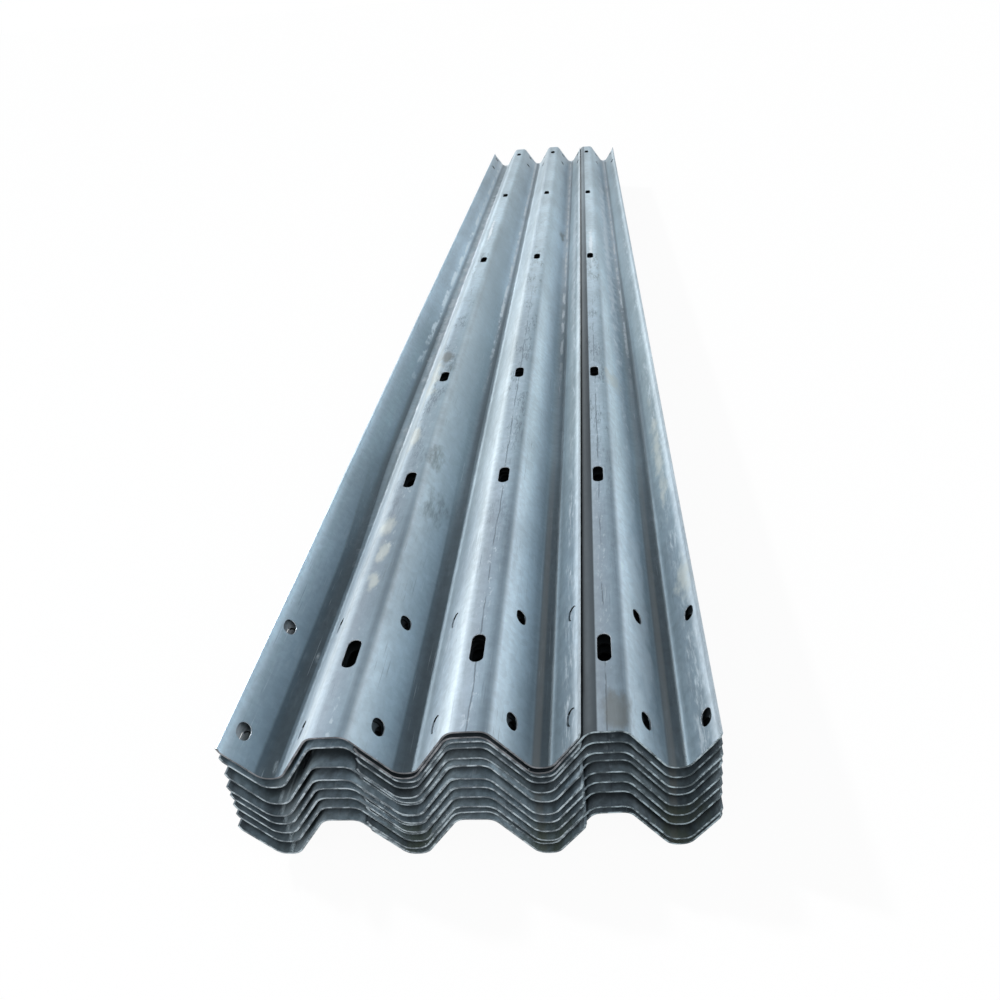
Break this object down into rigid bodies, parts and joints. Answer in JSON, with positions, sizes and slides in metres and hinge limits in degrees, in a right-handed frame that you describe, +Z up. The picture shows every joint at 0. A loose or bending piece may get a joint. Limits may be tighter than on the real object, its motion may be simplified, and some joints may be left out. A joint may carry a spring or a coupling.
{
  "type": "bundle of nested three-wave guardrail beams",
  "caption": "Bundle of hot-dip galvanised three-wave guardrail beams, nested back side up in two interleaved columns, with slotted crests and punched ends.",
  "frame": {"origin": "middle of the bundle's footprint, on the ground", "axes": "+Y along the beams to the far end, +X across them to the right-hand column, +Z up"},
  "size_m": [0.6978, 4.3668, 0.2289],
  "materials": {
    "galvanised_sheet": "hot-dip galvanised, dulled, with faint spangle, scuffs and stains"
  },
  "bodies": {
    "root": {"left_beam_1": "galvanised_sheet", "right_beam_1": "galvanised_sheet", "left_beam_2": "galvanised_sheet", "right_beam_2": "galvanised_sheet", "right_beam_3": "galvanised_sheet", "left_beam_3": "galvanised_sheet", "right_beam_4": "galvanised_sheet", "left_beam_4": "galvanised_sheet", "right_beam_5": "galvanised_sheet", "left_beam_5": "galvanised_sheet", "right_beam_6": "galvanised_sheet", "left_beam_6": "galvanised_sheet", "right_beam_7": "galvanised_sheet", "left_beam_7": "galvanised_sheet", "right_beam_8": "galvanised_sheet", "left_beam_8": "galvanised_sheet", "right_beam_9": "galvanised_sheet"}
  },
  "joints": []
}
